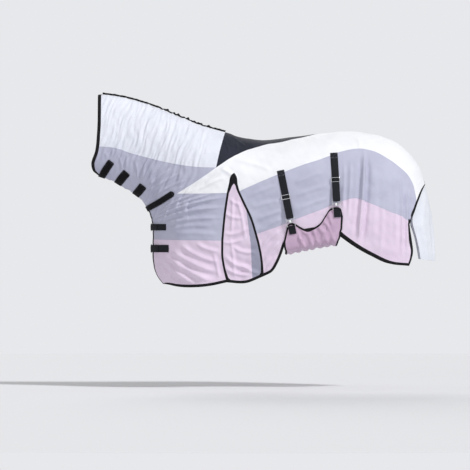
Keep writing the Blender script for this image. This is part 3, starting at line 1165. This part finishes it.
THROAT_TABS = [("throat_tab_1", [(-0.972, -0.2275), (-0.94, -0.175), (-0.906, -0.128)], 0.044,
                BINDING + 0.0015),
               ("throat_tab_2", [(-0.868, -0.2722), (-0.83, -0.228), (-0.804, -0.199)], 0.050,
                CLOTH + 0.0016),
               ("throat_tab_3", [(-0.748, -0.3465), (-0.72, -0.315), (-0.696, -0.286)], 0.050,
                CLOTH + 0.0016),
               ("neck_base_tab", [(-0.6720, -0.436), (-0.59, -0.395), (-0.494, -0.335)], 0.036,
                BINDING + 0.0040)]
STRAP_LINES = {"front": ((0.199, -0.192), (0.259, -0.500)),
               "rear": ((0.546, -0.078), (0.563, -0.388))}
CHEST_LINES = {"upper": (-0.560, 0.042, -0.546), "lower": (-0.700, 0.048, -0.529)}


def build_tab(name, points, width, lift):
    """Hook-and-loop tab folded under the throat and pressed down on the left side."""
    start = THROAT[np.argmin(np.hypot(*(THROAT - np.array(points[0])).T))]
    mid = line([tuple(start)] + points[1:], 24)
    tangent = np.gradient(mid, axis=0)
    tangent = unit(tangent)
    across_dir = np.c_[-tangent[:, 1], tangent[:, 0]]
    widths = np.full(len(mid), width / 2 * 1.12)
    # softly rounded corners at the free end
    end_run = np.hypot(*(mid[-1] - mid).T)
    corner = (0.40 if name == "neck_base_tab" else 0.12) * width
    near = np.clip(1 - end_run / corner, 0, 1)
    widths -= corner * (1 - np.sqrt(np.maximum(1 - near**2, 0)))
    ks = np.linspace(-1, 1, 13)
    grid = np.stack([mid + across_dir * widths[:, None] * k for k in ks])
    i = np.argmin(np.hypot(*(THROAT - mid[0]).T))
    run = np.r_[0, np.cumsum(np.hypot(*np.diff(THROAT,
                                               axis=0).T))] - np.hypot(*np.diff(THROAT[:i + 1],
                                                                                axis=0).T).sum()
    sign = np.sign(np.dot(across_dir[0], THROAT[i + 1] - THROAT[i]))
    cols = grid.shape[1]
    fade = 1 - soft(np.linspace(0, cols / 12, cols))
    for r, k in enumerate(ks):
        at = sign * k * width / 2
        edge = np.array([np.interp(at, run, THROAT[:, 0]), np.interp(at, run, THROAT[:, 1])])
        grid[r] += fade[:, None] * (edge - grid[r, 0])
    p, n = surface(grid.reshape(-1, 2))
    p, n = p.reshape(len(ks), cols, 3), n.reshape(len(ks), cols, 3)
    q, m = p[:, :9] * [1, -1, 1], n[:, :9] * [1, -1, 1]
    p, n = np.concatenate([q[:, ::-1], p[:, 1:]], 1), np.concatenate([m[:, ::-1], n[:, 1:]], 1)
    obj = open_grid(name, p, n, MAT["hook_tape"], WEB, lift)
    bevel = obj.modifiers.new("soft_edge", "BEVEL")
    bevel.width, bevel.segments, bevel.limit_method = 0.0006, 2, "ANGLE"
    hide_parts(name)
    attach(obj, name + "_body")
    edge = [p[1, 4:-2], p[1:-1, -2], p[-2, -3:3:-1]]
    edge_n = [n[1, 4:-2], n[1:-1, -2], n[-2, -3:3:-1]]
    return np.concatenate(edge) + np.concatenate(edge_n) * (lift + WEB), np.concatenate(edge_n)


def closure(name):
    """Belly strap with its slider and hook, and the flap's ring in a folded webbing tab."""
    top, hook = STRAP_LINES[name]
    down = np.array(hook) - np.array(top)
    length = np.hypot(*down)
    depth = surface([hook])[0][0, 1]
    d = np.array([down[0], 0, down[1]]) / length
    w = np.array([-d[2], 0, d[0]])
    mid = np.array(top) + 0.25 * d[[0, 2]]
    ends = surface([mid - 0.03 * w[[0, 2]], mid + 0.03 * w[[0, 2]]])[0]
    w[1] = (ends[1, 1] - ends[0, 1]) / 0.06
    w /= np.linalg.norm(w)

    def place(l, s, at=0.0):
        return np.array([top[0], depth - s, top[1]]) + w * at + d * l
    bar_s, r = 0.0252, WIRE + 0.0005 + WEB / 2
    path, sides = [], []
    for l in np.linspace(0, length * 0.42, 7):
        p = place(l, 0)
        y, nn = surface([[p[0], p[2]]])
        lift = CLOTH + 0.0003 + WEB / 2 + min(l, 0.03) * 0.05
        path.append(np.array([p[0], y[0, 1], p[2]]) + nn[0] * lift)
        ends = surface([p[[0, 2]] - 0.03 * w[[0, 2]], p[[0, 2]] + 0.03 * w[[0, 2]]])[0]
        sides.append(np.array([w[0], (ends[1, 1] - ends[0, 1]) / 0.06, w[2]]))
    s0 = depth - path[-1][1]
    start = length * 0.42
    path += [place(l, s0 + (bar_s - r - s0) * (l - start) / (length - start))
             for l in np.linspace(start + 0.02, length, 4)]
    path += [place(length + r * math.sin(a), bar_s - r * math.cos(a))
             for a in np.radians([30, 60, 90, 120, 150, 180])]
    tail = length * 0.42 + 0.028
    gap = WEB + GAP
    for l in np.linspace(length - 0.004, tail, 5):
        inner_s = s0 + (bar_s - r - s0) * (l - start) / (length - start)
        path.append(place(l, max(inner_s + gap, bar_s + r - (length - l) * 0.14)))
    sides += [w] * (len(path) - len(sides))
    body = f"{name}_strap_body"
    webbing(f"belly_strap_{name}", path, sides, STRAP_WIDTH, body)
    # slider
    ls = length * 0.56
    slope = (bar_s - r - s0) / (length - start)
    mid_s = s0 + slope * (ls - start)
    axis = d + np.array([0, -slope, 0])
    axis /= np.linalg.norm(axis)
    out = np.array([0, -1, 0]) - axis * np.dot([0, -1, 0], axis)
    out /= np.linalg.norm(out)
    centre = place(ls, mid_s) + out * (WEB / 2)
    front = WEB + GAP + 0.0008 + WIRE
    back = -(WEB + 0.0007 + 0.0012)
    half = STRAP_WIDTH / 2 + 0.0040
    loop = wire("loop", [centre + w * a + axis * b + out * front for a,
                         b in round_rectangle(half, 0.0135, 0.005)], WIRE)
    bar = wire("bar", [centre + w * (-half) + out * front, centre + w * (-half) + out * (back + 0.0012),
                       centre + w * (-half + 0.0015) + out * back, centre + w * (half - 0.0015) + out * back,
                       centre + w * half + out * (back + 0.0012), centre + w * half + out * front], 0.0012,
               False)
    merge(f"strap_slider_{name}", [loop, bar], f"strap_slider_{name}", f"{name}_slider_body")
    # hook
    loop = wire("loop", [place(length + 0.007 - b, bar_s, a) for a, b in round_rectangle(half, 0.007, 0.004)],
                WIRE)
    ring_s = bar_s - 0.0062
    lt, drop = length + 0.014, 0.020
    tongue = plate("tongue", [place(lt - 0.0005, bar_s), place(lt + drop - 0.002, bar_s),
                              place(lt + drop, bar_s - 0.002),
                              place(lt + drop, ring_s - 0.0035), place(lt + drop - 0.001, ring_s - 0.0048),
                              place(lt + drop - 0.004, ring_s - 0.0052)], w, 0.020, 0.0024)
    merge(f"strap_hook_{name}", [loop, tongue], f"strap_hook_{name}", body)
    # ring and its tab on the flap
    top_l, ring_h = lt + 0.0055, 0.036
    ring = wire("ring", [place(top_l + ring_h / 2 - b, ring_s, a) for a,
                         b in round_rectangle(0.0270, ring_h / 2, 0.004)], WIRE)
    merge(f"flap_ring_{name}", [ring], f"flap_ring_{name}", "belly_flap_body")
    bar_l = top_l + ring_h
    flap_s = FLAP_OFF + BINDING + GAP + WEB / 2
    low = flap_s - 0.0002 if name == "rear" else FLAP_OFF + CLOTH + GAP + WEB / 2

    def on_flap(l, extra):
        p = place(l, 0)
        return place(l, depth - surface([[p[0], p[2]]])[0][0, 1] + extra)
    path = [on_flap(bar_l + 0.052, low), on_flap(bar_l + 0.040, low), on_flap(bar_l + 0.026, flap_s + GAP),
            on_flap(bar_l + 0.012, flap_s + GAP)]
    path += [place(bar_l - r * math.cos(a), ring_s - r * math.sin(a))
             for a in np.radians([100, 60, 20, -20, -60, -100])]
    fold = WEB + GAP
    path += [on_flap(bar_l + 0.014, flap_s + GAP + fold), on_flap(bar_l + 0.026, flap_s + GAP + fold),
             on_flap(bar_l + 0.040, low + fold), on_flap(bar_l + 0.052, low + fold)]
    webbing(f"flap_tab_{name}", path, w, 0.046, "belly_flap_body")
    # sewn box at the strap's upper end and on the tab
    box = []
    for l, at in ((0.006, -0.019), (0.006, 0.019), (0.034, 0.019), (0.034, -0.019), (0.006, -0.019),
                  (0.034, 0.019),
                  (0.034, -0.019), (0.006, 0.019)):
        p = place(l, 0, at)
        y, nn = surface([[p[0], p[2]]])
        box.append((y[0] + nn[0] * (CLOTH + WEB + 0.0004 + l * 0.05), nn[0]))
    STITCHES.append(("thread_grey", body, np.array([b[0] for b in box]), np.array([b[1] for b in box])))
    out_n = np.array([0, -1.0, 0])
    box = [on_flap(bar_l + l, low + fold + WEB / 2) + w * at for l, at in
           ((0.030, -0.019), (0.030, 0.019), (0.049, 0.019), (0.049, -0.019), (0.030, -0.019))]
    STITCHES.append(("thread_grey", "belly_flap_body", np.array(box), np.tile(out_n, (len(box), 1))))


def chest_closure(name):
    """Left webbing tab with a ring, and the right strap whose hook reaches through the ring."""
    z, width, back_x = CHEST_LINES[name]
    front = THROAT[np.argmin(np.abs(THROAT[:, 1] - z) + 10 * (THROAT[:, 0] < -0.66))][0]
    lift = BINDING + 0.0016 + WEB / 2 + GAP

    def hug(start, stop, count):
        xs = start + (stop - start) * (1 - np.cos(np.linspace(0, math.pi / 2, count)))
        p, nn = surface(np.c_[xs, np.full(count, z)])
        nn[:, 2] = 0
        nn = unit(nn)
        rise = np.full(count, lift)
        rise[:3] = CLOTH + 0.0009 + WEB / 2, CLOTH + 0.0022 + WEB / 2, lift - 0.0006
        return p + nn * rise[:, None]
    up = np.array([0, 0, 1.0])
    ring_x, r = front - lift - 0.0040, WIRE + 0.0005 + WEB / 2
    left = hug(back_x, front + 0.0012, 9)
    bar_y = -0.015
    path = [q for q in left if q[1] < bar_y - r - 0.004]
    ends = [np.array([ring_x - r * math.cos(a), bar_y + r * math.sin(a), z])
            for a in np.radians([180, 135, 90, 45, 0])]
    ends += [np.array([ring_x - r, bar_y - 0.006, z])]
    ends += [path[-1] + np.array([-WEB - 0.0008, -0.004, 0]),
             path[-2] + np.array([-WEB - GAP, -WEB - 0.0002, 0])]
    webbing(f"chest_tab_{name}", np.array(path + ends), up, width, "sheet")
    ring = wire("ring", [np.array([ring_x, a, z + b]) for a,
                         b in round_rectangle(0.015, width / 2 + 0.004, 0.004)], WIRE)
    merge(f"chest_ring_{name}", [ring], f"chest_ring_{name}", "sheet")
    right = [q * [1, -1, 1] for q in left]
    hook_y = 0.034
    path = [q for q in right if q[1] > hook_y + r + 0.004]
    hx = ring_x - 0.001
    ends = [np.array([hx - r * math.cos(a), hook_y - r * math.sin(a), z])
            for a in np.radians([180, 135, 90, 45, 0])]
    ends += [np.array([hx - r, hook_y + 0.006, z])]
    ends += [path[-1] + np.array([-WEB - 0.0008, 0.004, 0]),
             path[-2] + np.array([-WEB - GAP, WEB + 0.0002, 0])]
    body = f"chest_strap_{name}_body"
    webbing(f"chest_strap_{name}", np.array(path + ends), up, width, body)
    loop = wire("loop", [np.array([hx, hook_y - 0.0055 + a, z + b]) for a,
                         b in round_rectangle(0.0055, width / 2 + 0.004, 0.004)], WIRE)
    y0 = hook_y - 0.011
    tongue = plate("tongue", [(hx, y0 + 0.0005, z), (hx - 0.004, y0 - 0.002, z), (hx - 0.0045, y0 - 0.008, z),
                              (hx - 0.0045, y0 - 0.016, z), (hx - 0.002, y0 - 0.0185, z),
                              (hx + 0.003, y0 - 0.0185, z)],
                   up, width * 0.45, 0.0022)
    merge(f"chest_hook_{name}", [loop, tongue], f"chest_hook_{name}", body)


# ---- stitching ----------------------------------------------------------------------------------
STITCHES = []       # (material, body, points, normals)
STITCH_PITCH = 0.0050
BESIDE_SEAM = 0.0032    # a row of stitches runs this far from its seam


def stitch_tree():
    """Stitches along edge paths: capsules of thread laid end to end on the cloth, tilted by its normal."""
    tree = bpy.data.node_groups.new("thread_stitches", "GeometryNodeTree")
    face = tree.interface
    face.new_socket("Geometry", in_out="INPUT", socket_type="NodeSocketGeometry")
    sizes = {}
    for label, value in (("Stitch Pitch", STITCH_PITCH), ("Thread Radius", 0.00042),
                         ("Stitch Length", 0.0036)):
        s = face.new_socket(label, in_out="INPUT", socket_type="NodeSocketFloat")
        s.default_value = value
        sizes[label] = s.identifier
    thread = face.new_socket("Thread", in_out="INPUT", socket_type="NodeSocketMaterial")
    face.new_socket("Geometry", in_out="OUTPUT", socket_type="NodeSocketGeometry")
    given = add_node(tree, "NodeGroupInput")
    normal = add_node(tree, "GeometryNodeInputNamedAttribute", {"data_type": "FLOAT_VECTOR"}, {"Name": "out"})
    curve = add_node(tree, "GeometryNodeMeshToCurve", None, {"Mesh": (given, "Geometry")})
    steps = add_node(tree, "GeometryNodeResampleCurve", {"mode": "LENGTH"},
                     {"Curve": (curve, "Curve"), "Length": (given, "Stitch Pitch")})
    tangent = add_node(tree, "GeometryNodeInputTangent")
    aim = add_node(tree, "FunctionNodeAlignRotationToVector", {"axis": "Z"}, {"Vector": (tangent, "Tangent")})
    tip = add_node(tree, "FunctionNodeAlignRotationToVector", {"axis": "X", "pivot_axis": "Z"},
                   {"Rotation": (aim, "Rotation")})
    tree.links.new(normal.outputs[0], tip.inputs["Vector"])
    body = add_node(tree, "GeometryNodeMeshCylinder", {"fill_type": "TRIANGLE_FAN"},
                    {"Vertices": 5, "Side Segments": 2,
                    "Radius": (given, "Thread Radius"), "Depth": (given, "Stitch Length")})
    # the ends dip into the cloth, as a pulled stitch does
    place = add_node(tree, "GeometryNodeInputPosition")
    parts = add_node(tree, "ShaderNodeSeparateXYZ", None, {0: (place, "Position")})
    square = add_node(tree, "ShaderNodeMath", {"operation": "POWER"}, {1: 2.0})
    size = add_node(tree, "ShaderNodeMath", {"operation": "ABSOLUTE"}, {0: (parts, "Z")})
    tree.links.new(size.outputs[0], square.inputs[0])
    dip = add_node(tree, "ShaderNodeMath", {"operation": "MULTIPLY"}, {0: (square, 0), 1: -230.0})
    shift = add_node(tree, "ShaderNodeCombineXYZ", None, {"X": (dip, 0)})
    bent = add_node(tree, "GeometryNodeSetPosition", None,
                    {"Geometry": (body, "Mesh"), "Offset": (shift, "Vector")})
    laid = add_node(tree, "GeometryNodeInstanceOnPoints", None,
                    {"Points": (steps, "Curve"), "Instance": (bent, "Geometry"),
                    "Rotation": (tip, "Rotation")})
    real = add_node(tree, "GeometryNodeRealizeInstances", None, {"Geometry": (laid, "Instances")})
    done = add_node(tree, "GeometryNodeSetMaterial", None,
                    {"Geometry": (real, "Geometry"), "Material": (given, "Thread")})
    add_node(tree, "NodeGroupOutput", None, {"Geometry": (done, "Geometry")})
    return tree, sizes, thread.identifier


def sew():
    tree, _, thread_id = stitch_tree()
    groups = {}
    for mat, body, pts, nn in STITCHES:
        groups.setdefault((mat, body), []).append((pts, nn))
    for (mat, body), rows in groups.items():
        verts, edges, normals = [], [], []
        for pts, nn in rows:
            k = len(verts)
            verts += [tuple(p) for p in pts]
            normals += [tuple(v) for v in nn]
            edges += [(k + i, k + i + 1) for i in range(len(pts) - 1)]
        name = f"stitching_{mat.split('_')[1]}_{body}"
        mesh = bpy.data.meshes.new(name)
        mesh.from_pydata(verts, edges, [])
        layer = mesh.attributes.new("out", "FLOAT_VECTOR", "POINT")
        layer.data.foreach_set("vector", np.array(normals, float).ravel())
        obj = add_object(name, mesh)
        mod = obj.modifiers.new("stitches", "NODES")
        mod.node_group = tree
        mod[thread_id] = MAT[mat]
        plain = bpy.data.meshes.new_from_object(obj.evaluated_get(bpy.context.evaluated_depsgraph_get()))
        obj.modifiers.remove(mod)
        obj.data = plain
        if not plain.materials:
            plain.materials.append(MAT[mat])
        uv = plain.uv_layers.new(name="yarns") if "yarns" not in plain.uv_layers else plain.uv_layers["yarns"]
        co = np.zeros(len(plain.vertices) * 3)
        plain.vertices.foreach_get("co", co)
        loops = np.zeros(len(plain.loops), int)
        plain.loops.foreach_get("vertex_index", loops)
        uv.data.foreach_set("uv", co.reshape(-1, 3)[loops][:, [0, 2]].ravel())
        plain.polygons.foreach_set("use_smooth", [True] * len(plain.polygons))
        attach(obj, body)


def stitch_sides(line2, mat, offset):
    """The same row of stitches on the left and right side."""
    for mirror in (False, True):
        p, n = worn(line2[None], mirror, offset)
        STITCHES.append((mat, "sheet", p[0], n[0]))


def stitch_line(line2, offset, mat):
    """Row of stitches beside a seam, offset to one side in side view."""
    tangent = np.gradient(line2, axis=0)
    tangent /= np.maximum(np.linalg.norm(tangent, axis=1), 1e-9)[:, None]
    moved = line2 + np.c_[-tangent[:, 1], tangent[:, 0]] * offset
    stitch_sides(moved, mat, CLOTH + 0.0002)


def stitch_rows(n):
    for key, above, below in (("neck_seam", "thread_white", "thread_grey"),
                              ("seam_f", "thread_white", "thread_grey"),
                              ("seam_r", "thread_white", "thread_grey"),
                              ("pink_f", "thread_grey", "thread_pink"),
                              ("pink_r", "thread_grey", "thread_pink"),
                              ("neck_up", "thread_grey", "thread_white")):
        stitch_line(n[key][2:-2], BESIDE_SEAM, above)
        stitch_line(n[key][2:-2], -BESIDE_SEAM, below)
    stitch_line(n["insert_low"][3:-8], BESIDE_SEAM, "thread_black")
    stitch_line(n["insert_low"][3:-8], -BESIDE_SEAM, "thread_white")
    for edge in ("hem", "rear", "chest"):
        row = n[edge + "_out"] + (n[edge + "_in"] - n[edge + "_out"]) * 0.84
        stitch_sides(row[3:-3], "thread_black", BINDING * 0.9)
    for key in ("f", "r"):
        for share in (0.14, 0.86):
            row = (n["leg_" + key] + (n["in_" + key] - n["leg_" + key]) * share)[:-2]
            stitch_sides(row, "thread_black", BINDING * 0.9)


# ---- putting it together ------------------------------------------------------------------------
def hold_places():
    for _, pts, width, _ in THROAT_TABS:
        for a, b in zip(pts[:-1], pts[1:]):
            for t in (0, 0.5, 1):
                HELD.append((a[0] + (b[0] - a[0]) * t, a[1] + (b[1] - a[1]) * t, width * 0.5))
    for top, hook in STRAP_LINES.values():
        for t in np.linspace(0, 0.6, 9):
            HELD.append((top[0] + (hook[0] - top[0]) * t, top[1] + (hook[1] - top[1]) * t, 0.026))
    for z, width, back_x in CHEST_LINES.values():
        for x in np.linspace(back_x - 0.01, -0.64, 5):
            HELD.append((x, z, width * 0.6))
    for x in np.linspace(0.25, 0.58, 8):
        for z in (-0.46, -0.54, -0.60, -0.66):
            if z < np.interp(x, [0.25, 0.42, 0.58], [-0.55, -0.54, -0.42]):
                HELD.append((x, z, 0.03))
    for z in (-0.566, -0.60):
        for x in np.linspace(0.24, 0.56, 7):
            HELD.append((x, z, 0.03))


def declare_sheets():
    extra = {"flank_pink": ["hem_binding"], "back_white": ["rear_binding"],
             "shoulder_pink": ["chest_binding"], "gusset": ["gusset_binding"]}
    for name, (obj, flat, area, held, rests) in PANELS.items():
        base, _, side = name.rpartition("_")
        with_pieces = [f"{p}_{side}" for p in extra.get(base, [])]
        with_pieces += {"neck_white_left": ["poll_binding", "crest_binding"],
                        "belly_flap": ["belly_flap_binding"]}.get(name, [])


FLOOR, FLOOR_RADIUS, FLOOR_SIDES = -1.62, 9, 96
WORLD_LIGHT = 0.37
# name, where it shines from, softness in degrees, strength
LAMPS = [("key", (3.8, -3.6, 4.5), 8, 2.3), ("front", (-3.0, -7.5, 0.5), 40, 0.58),
         ("back", (-1.0, 6.0, 3.0), 30, 0.9)]
LIT_POINT = (0.1, 0, -0.3)
CAMERA_PLACE = (-0.0975, -30.3, -0.611)
CAMERA_LENS, SENSOR = 353.0, 36.0


def studio():
    """Round pale floor under soft, even light; the air behind it is the same pale grey."""
    turns = np.linspace(0, 2 * math.pi, FLOOR_SIDES + 1)[:-1]
    verts = [(0, 0, FLOOR)] + [(FLOOR_RADIUS * math.cos(t), FLOOR_RADIUS * math.sin(t), FLOOR) for t in turns]
    faces = [(0, i, i % FLOOR_SIDES + 1) for i in range(1, FLOOR_SIDES + 1)]
    mat, tree, bsdf = start_material("pale_studio_floor")
    bsdf.inputs["Base Color"].default_value = linear("DEDFE2")
    bsdf.inputs["Roughness"].default_value = 0.9
    finish_mesh("studio_floor", verts, faces, mat)
    world = bpy.data.worlds.new("studio")
    bpy.context.scene.world = world
    world.use_nodes = True
    tree = world.node_tree
    soft_light = tree.nodes["Background"]
    soft_light.inputs["Color"].default_value = (1.0, 1.0, 1.0, 1.0)
    soft_light.inputs["Strength"].default_value = WORLD_LIGHT
    pale = add_node(tree, "ShaderNodeBackground", None, {"Color": linear("E7E8EB"), "Strength": 1.0})
    seen = add_node(tree, "ShaderNodeLightPath")
    both = add_node(tree, "ShaderNodeMixShader", None,
                    {0: (seen, "Is Camera Ray"), 1: (soft_light, 0), 2: (pale, 0)})
    tree.links.new(both.outputs[0], tree.nodes["World Output"].inputs["Surface"])
    for name, place, softness, power in LAMPS:
        data = bpy.data.lights.new(name, "SUN")
        data.angle, data.energy = math.radians(softness), power
        lamp = bpy.data.objects.new(name, data)
        lamp.location = place
        aim = Vector(LIT_POINT) - Vector(place)
        lamp.rotation_euler = aim.to_track_quat("-Z", "Y").to_euler()
        bpy.context.scene.collection.objects.link(lamp)


def camera():
    data = bpy.data.cameras.new("camera")
    data.lens, data.sensor_width = CAMERA_LENS, SENSOR
    data.clip_end = 100
    cam = bpy.data.objects.new("camera", data)
    cam.location = CAMERA_PLACE
    cam.rotation_euler = (math.pi / 2, 0, 0)
    bpy.context.scene.collection.objects.link(cam)
    bpy.context.scene.camera = cam
    bpy.context.scene.view_settings.view_transform = "Standard"


camera()
hold_places()
seams = build_lines()
seams["coarse_rear_out"] = seams["rear_out"][::FINE]
build_neck(seams)
build_body(seams)
build_tail(seams)
build_flap()
for tab in THROAT_TABS:
    edge, edge_n = build_tab(*tab)
    STITCHES.append(("thread_grey", tab[0] + "_body", edge + edge_n * 0.0002, edge_n))
for strap in STRAP_LINES:
    closure(strap)
for strap in CHEST_LINES:
    chest_closure(strap)
stitch_rows(seams)
sew()
declare_sheets()
studio()
